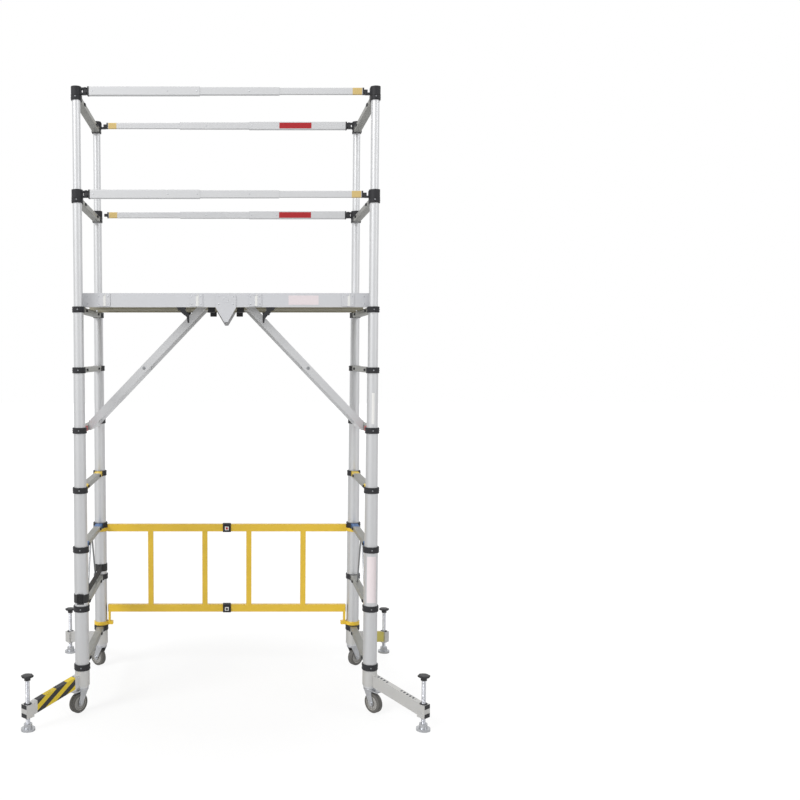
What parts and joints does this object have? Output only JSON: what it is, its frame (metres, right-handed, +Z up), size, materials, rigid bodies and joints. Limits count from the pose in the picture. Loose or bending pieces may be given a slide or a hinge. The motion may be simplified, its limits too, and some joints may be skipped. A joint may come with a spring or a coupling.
{
  "type": "baker scaffold",
  "caption": "Telescopic aluminium scaffold tower with ribbed platform, folding guard rails, diagonal braces, screw-foot outriggers and braked castors.",
  "frame": {"origin": "on the ground, midway between the two ladders and midway front to back", "axes": "+X from the left ladder to the right ladder, +Y from front to back, +Z up"},
  "size_m": [1.976, 1.264, 3.112],
  "materials": {
    "tube_aluminium": "satin",
    "rung_aluminium": "satin",
    "deck_aluminium": "satin",
    "black_plastic": "matte",
    "yellow_paint": "gloss",
    "webbing": "woven",
    "dark_steel": "satin",
    "zinc_steel": "satin",
    "wheel_rubber": "matte"
  },
  "bodies": {
    "base": {"base_posts": "tube_aluminium", "base_rungs": "rung_aluminium", "base_stays": "dark_steel", "stowage_strap": "webbing", "rear_frame_left": "yellow_paint", "rear_frame_right": "yellow_paint", "rear_frame_clips": "black_plastic"},
    "level_1": {"posts_1": "tube_aluminium", "rungs_1": "rung_aluminium"},
    "level_2": {"mid_posts": "tube_aluminium", "mid_rungs": "rung_aluminium"},
    "level_5": {"posts_5": "tube_aluminium", "rungs_5": "rung_aluminium"},
    "level_6": {"posts_6": "tube_aluminium", "rungs_6": "rung_aluminium"},
    "platform": {"deck_left": "deck_aluminium", "deck_centre": "deck_aluminium", "deck_right": "deck_aluminium", "deck_hooks": "deck_aluminium", "deck_hinges": "deck_aluminium", "brace_brackets": "deck_aluminium", "deck_catches": "black_plastic"},
    "left_brace_body": {"left_brace": "tube_aluminium"},
    "right_brace_body": {"right_brace": "tube_aluminium"},
    "front_middle_rail_outer_section": {"front_middle_rail_outer": "tube_aluminium"},
    "front_middle_rail_middle_section": {"front_middle_rail_middle": "tube_aluminium"},
    "front_middle_rail_inner_section": {"front_middle_rail_inner": "tube_aluminium"},
    "back_middle_rail_outer_section": {"back_middle_rail_outer": "tube_aluminium"},
    "back_middle_rail_middle_section": {"back_middle_rail_middle": "tube_aluminium"},
    "back_middle_rail_inner_section": {"back_middle_rail_inner": "tube_aluminium"},
    "front_top_rail_outer_section": {"front_top_rail_outer": "tube_aluminium"},
    "front_top_rail_middle_section": {"front_top_rail_middle": "tube_aluminium"},
    "front_top_rail_inner_section": {"front_top_rail_inner": "tube_aluminium"},
    "back_top_rail_outer_section": {"back_top_rail_outer": "tube_aluminium"},
    "back_top_rail_middle_section": {"back_top_rail_middle": "tube_aluminium"},
    "back_top_rail_inner_section": {"back_top_rail_inner": "tube_aluminium"},
    "front_left_arm": {"front_left_outrigger": "tube_aluminium"},
    "front_left_foot_body": {"front_left_foot": "zinc_steel"},
    "front_left_spindle_body": {"front_left_spindle": "zinc_steel"},
    "front_right_arm": {"front_right_outrigger": "tube_aluminium"},
    "front_right_foot_body": {"front_right_foot": "zinc_steel"},
    "front_right_spindle_body": {"front_right_spindle": "zinc_steel"},
    "back_left_arm": {"back_left_outrigger": "tube_aluminium"},
    "back_left_foot_body": {"back_left_foot": "zinc_steel"},
    "back_left_spindle_body": {"back_left_spindle": "zinc_steel"},
    "back_right_arm": {"back_right_outrigger": "tube_aluminium"},
    "back_right_foot_body": {"back_right_foot": "zinc_steel"},
    "back_right_spindle_body": {"back_right_spindle": "zinc_steel"},
    "front_left_castor": {"front_left_castor_fork": "zinc_steel"},
    "front_left_wheel_body": {"front_left_wheel": "wheel_rubber"},
    "front_left_brake_body": {"front_left_brake": "zinc_steel"},
    "front_right_castor": {"front_right_castor_fork": "zinc_steel"},
    "front_right_wheel_body": {"front_right_wheel": "wheel_rubber"},
    "front_right_brake_body": {"front_right_brake": "zinc_steel"},
    "back_left_castor": {"back_left_castor_fork": "zinc_steel"},
    "back_left_wheel_body": {"back_left_wheel": "wheel_rubber"},
    "back_left_brake_body": {"back_left_brake": "zinc_steel"},
    "back_right_castor": {"back_right_castor_fork": "zinc_steel"},
    "back_right_wheel_body": {"back_right_wheel": "wheel_rubber"},
    "back_right_brake_body": {"back_right_brake": "zinc_steel"}
  },
  "joints": [
    {"name": "level_1_telescope", "type": "slide", "parent": "base", "child": "level_1", "axis": [0, 0, 1], "range_m": [-0.268, 0]},
    {"name": "level_2_telescope", "type": "slide", "parent": "level_1", "child": "level_2", "axis": [0, 0, 1], "range_m": [-0.268, 0]},
    {"name": "level_5_telescope", "type": "slide", "parent": "level_2", "child": "level_5", "axis": [0, 0, 1], "range_m": [-0.42, 0]},
    {"name": "level_6_telescope", "type": "slide", "parent": "level_5", "child": "level_6", "axis": [0, 0, 1], "range_m": [-0.4, 0]},
    {"name": "platform_lift", "type": "slide", "parent": "level_2", "child": "platform", "axis": [0, 0, 1], "range_m": [0, 0.15]},
    {"name": "left_brace_swing", "type": "hinge", "parent": "platform", "child": "left_brace_body", "pos_m": [-0.11, 0, 2.0663], "axis": [0, 1, 0], "range_deg": [-43.8, 0]},
    {"name": "right_brace_swing", "type": "hinge", "parent": "platform", "child": "right_brace_body", "pos_m": [0.11, 0, 2.0663], "axis": [0, 1, 0], "range_deg": [0, 43.8]},
    {"name": "front_middle_rail_swing", "type": "hinge", "parent": "level_5", "child": "front_middle_rail_outer_section", "pos_m": [-0.686, -0.348, 2.595], "axis": [0, 0, 1], "range_deg": [-90, 0]},
    {"name": "front_middle_rail_slide", "type": "slide", "parent": "front_middle_rail_outer_section", "child": "front_middle_rail_middle_section", "axis": [1, 0, 0], "range_m": [-0.28, 0]},
    {"name": "front_middle_rail_inner_slide", "type": "slide", "parent": "front_middle_rail_middle_section", "child": "front_middle_rail_inner_section", "axis": [1, 0, 0], "range_m": [-0.28, 0]},
    {"name": "back_middle_rail_swing", "type": "hinge", "parent": "level_5", "child": "back_middle_rail_outer_section", "pos_m": [0.686, 0.348, 2.595], "axis": [0, 0, 1], "range_deg": [-90, 0]},
    {"name": "back_middle_rail_slide", "type": "slide", "parent": "back_middle_rail_outer_section", "child": "back_middle_rail_middle_section", "axis": [-1, 0, 0], "range_m": [-0.28, 0]},
    {"name": "back_middle_rail_inner_slide", "type": "slide", "parent": "back_middle_rail_middle_section", "child": "back_middle_rail_inner_section", "axis": [-1, 0, 0], "range_m": [-0.28, 0]},
    {"name": "front_top_rail_swing", "type": "hinge", "parent": "level_6", "child": "front_top_rail_outer_section", "pos_m": [-0.686, -0.348, 3.09], "axis": [0, 0, 1], "range_deg": [-90, 0]},
    {"name": "front_top_rail_slide", "type": "slide", "parent": "front_top_rail_outer_section", "child": "front_top_rail_middle_section", "axis": [1, 0, 0], "range_m": [-0.28, 0]},
    {"name": "front_top_rail_inner_slide", "type": "slide", "parent": "front_top_rail_middle_section", "child": "front_top_rail_inner_section", "axis": [1, 0, 0], "range_m": [-0.28, 0]},
    {"name": "back_top_rail_swing", "type": "hinge", "parent": "level_6", "child": "back_top_rail_outer_section", "pos_m": [0.686, 0.348, 3.09], "axis": [0, 0, 1], "range_deg": [-90, 0]},
    {"name": "back_top_rail_slide", "type": "slide", "parent": "back_top_rail_outer_section", "child": "back_top_rail_middle_section", "axis": [-1, 0, 0], "range_m": [-0.28, 0]},
    {"name": "back_top_rail_inner_slide", "type": "slide", "parent": "back_top_rail_middle_section", "child": "back_top_rail_inner_section", "axis": [-1, 0, 0], "range_m": [-0.28, 0]},
    {"name": "front_left_arm_swing", "type": "hinge", "parent": "base", "child": "front_left_arm", "pos_m": [-0.73, -0.348, 0.18], "axis": [0, 0, 1], "range_deg": [-45, 45]},
    {"name": "front_left_jack", "type": "slide", "parent": "front_left_arm", "child": "front_left_foot_body", "axis": [0, 0, 1], "range_m": [-0.1, 0.028]},
    {"name": "front_left_spindle_turn", "type": "hinge", "parent": "front_left_foot_body", "child": "front_left_spindle_body", "pos_m": [-0.954, -0.598, 0.1], "axis": [0, 0, 1], "range_deg": [-3610, 1015]},
    {"name": "front_right_arm_swing", "type": "hinge", "parent": "base", "child": "front_right_arm", "pos_m": [0.73, -0.348, 0.18], "axis": [0, 0, 1], "range_deg": [-45, 45]},
    {"name": "front_right_jack", "type": "slide", "parent": "front_right_arm", "child": "front_right_foot_body", "axis": [0, 0, 1], "range_m": [-0.1, 0.028]},
    {"name": "front_right_spindle_turn", "type": "hinge", "parent": "front_right_foot_body", "child": "front_right_spindle_body", "pos_m": [0.954, -0.598, 0.1], "axis": [0, 0, 1], "range_deg": [-3610, 1015]},
    {"name": "back_left_arm_swing", "type": "hinge", "parent": "base", "child": "back_left_arm", "pos_m": [-0.73, 0.348, 0.18], "axis": [0, 0, 1], "range_deg": [-45, 45]},
    {"name": "back_left_jack", "type": "slide", "parent": "back_left_arm", "child": "back_left_foot_body", "axis": [0, 0, 1], "range_m": [-0.1, 0.028]},
    {"name": "back_left_spindle_turn", "type": "hinge", "parent": "back_left_foot_body", "child": "back_left_spindle_body", "pos_m": [-0.954, 0.598, 0.1], "axis": [0, 0, 1], "range_deg": [-3610, 1015]},
    {"name": "back_right_arm_swing", "type": "hinge", "parent": "base", "child": "back_right_arm", "pos_m": [0.73, 0.348, 0.18], "axis": [0, 0, 1], "range_deg": [-45, 45]},
    {"name": "back_right_jack", "type": "slide", "parent": "back_right_arm", "child": "back_right_foot_body", "axis": [0, 0, 1], "range_m": [-0.1, 0.028]},
    {"name": "back_right_spindle_turn", "type": "hinge", "parent": "back_right_foot_body", "child": "back_right_spindle_body", "pos_m": [0.954, 0.598, 0.1], "axis": [0, 0, 1], "range_deg": [-3610, 1015]},
    {"name": "front_left_swivel", "type": "hinge", "parent": "base", "child": "front_left_castor", "pos_m": [-0.73, -0.348, 0.12], "axis": [0, 0, 1], "continuous": true},
    {"name": "front_left_roll", "type": "hinge", "parent": "front_left_castor", "child": "front_left_wheel_body", "pos_m": [-0.748, -0.36945, 0.05], "axis": [0.766, -0.6428, 0], "continuous": true},
    {"name": "front_left_brake_press", "type": "hinge", "parent": "front_left_castor", "child": "front_left_brake_body", "pos_m": [-0.739, -0.35873, 0.11], "axis": [0.766, -0.6428, 0], "range_deg": [0, 12]},
    {"name": "front_right_swivel", "type": "hinge", "parent": "base", "child": "front_right_castor", "pos_m": [0.73, -0.348, 0.12], "axis": [0, 0, 1], "continuous": true},
    {"name": "front_right_roll", "type": "hinge", "parent": "front_right_castor", "child": "front_right_wheel_body", "pos_m": [0.74724, -0.37006, 0.05], "axis": [0.788, 0.6157, 0], "continuous": true},
    {"name": "front_right_brake_press", "type": "hinge", "parent": "front_right_castor", "child": "front_right_brake_body", "pos_m": [0.73862, -0.35903, 0.11], "axis": [0.788, 0.6157, 0], "range_deg": [0, 12]},
    {"name": "back_left_swivel", "type": "hinge", "parent": "base", "child": "back_left_castor", "pos_m": [-0.73, 0.348, 0.12], "axis": [0, 0, 1], "continuous": true},
    {"name": "back_left_roll", "type": "hinge", "parent": "back_left_castor", "child": "back_left_wheel_body", "pos_m": [-0.75145, 0.366, 0.05], "axis": [-0.6428, -0.766, 0], "continuous": true},
    {"name": "back_left_brake_press", "type": "hinge", "parent": "back_left_castor", "child": "back_left_brake_body", "pos_m": [-0.74072, 0.357, 0.11], "axis": [-0.6428, -0.766, 0], "range_deg": [0, 12]},
    {"name": "back_right_swivel", "type": "hinge", "parent": "base", "child": "back_right_castor", "pos_m": [0.73, 0.348, 0.12], "axis": [0, 0, 1], "continuous": true},
    {"name": "back_right_roll", "type": "hinge", "parent": "back_right_castor", "child": "back_right_wheel_body", "pos_m": [0.75206, 0.36524, 0.05], "axis": [-0.6157, 0.788, 0], "continuous": true},
    {"name": "back_right_brake_press", "type": "hinge", "parent": "back_right_castor", "child": "back_right_brake_body", "pos_m": [0.74103, 0.35662, 0.11], "axis": [-0.6157, 0.788, 0], "range_deg": [0, 12]}
  ],
  "couplings": [
    {"joint": "front_middle_rail_inner_slide", "follows": "front_middle_rail_slide", "ratio": 1},
    {"joint": "back_middle_rail_inner_slide", "follows": "back_middle_rail_slide", "ratio": 1},
    {"joint": "front_top_rail_inner_slide", "follows": "front_top_rail_slide", "ratio": 1},
    {"joint": "back_top_rail_inner_slide", "follows": "back_top_rail_slide", "ratio": 1},
    {"joint": "front_left_spindle_turn", "follows": "front_left_jack", "rad_per_m": 628.32},
    {"joint": "front_right_spindle_turn", "follows": "front_right_jack", "rad_per_m": 628.32},
    {"joint": "back_left_spindle_turn", "follows": "back_left_jack", "rad_per_m": 628.32},
    {"joint": "back_right_spindle_turn", "follows": "back_right_jack", "rad_per_m": 628.32}
  ]
}
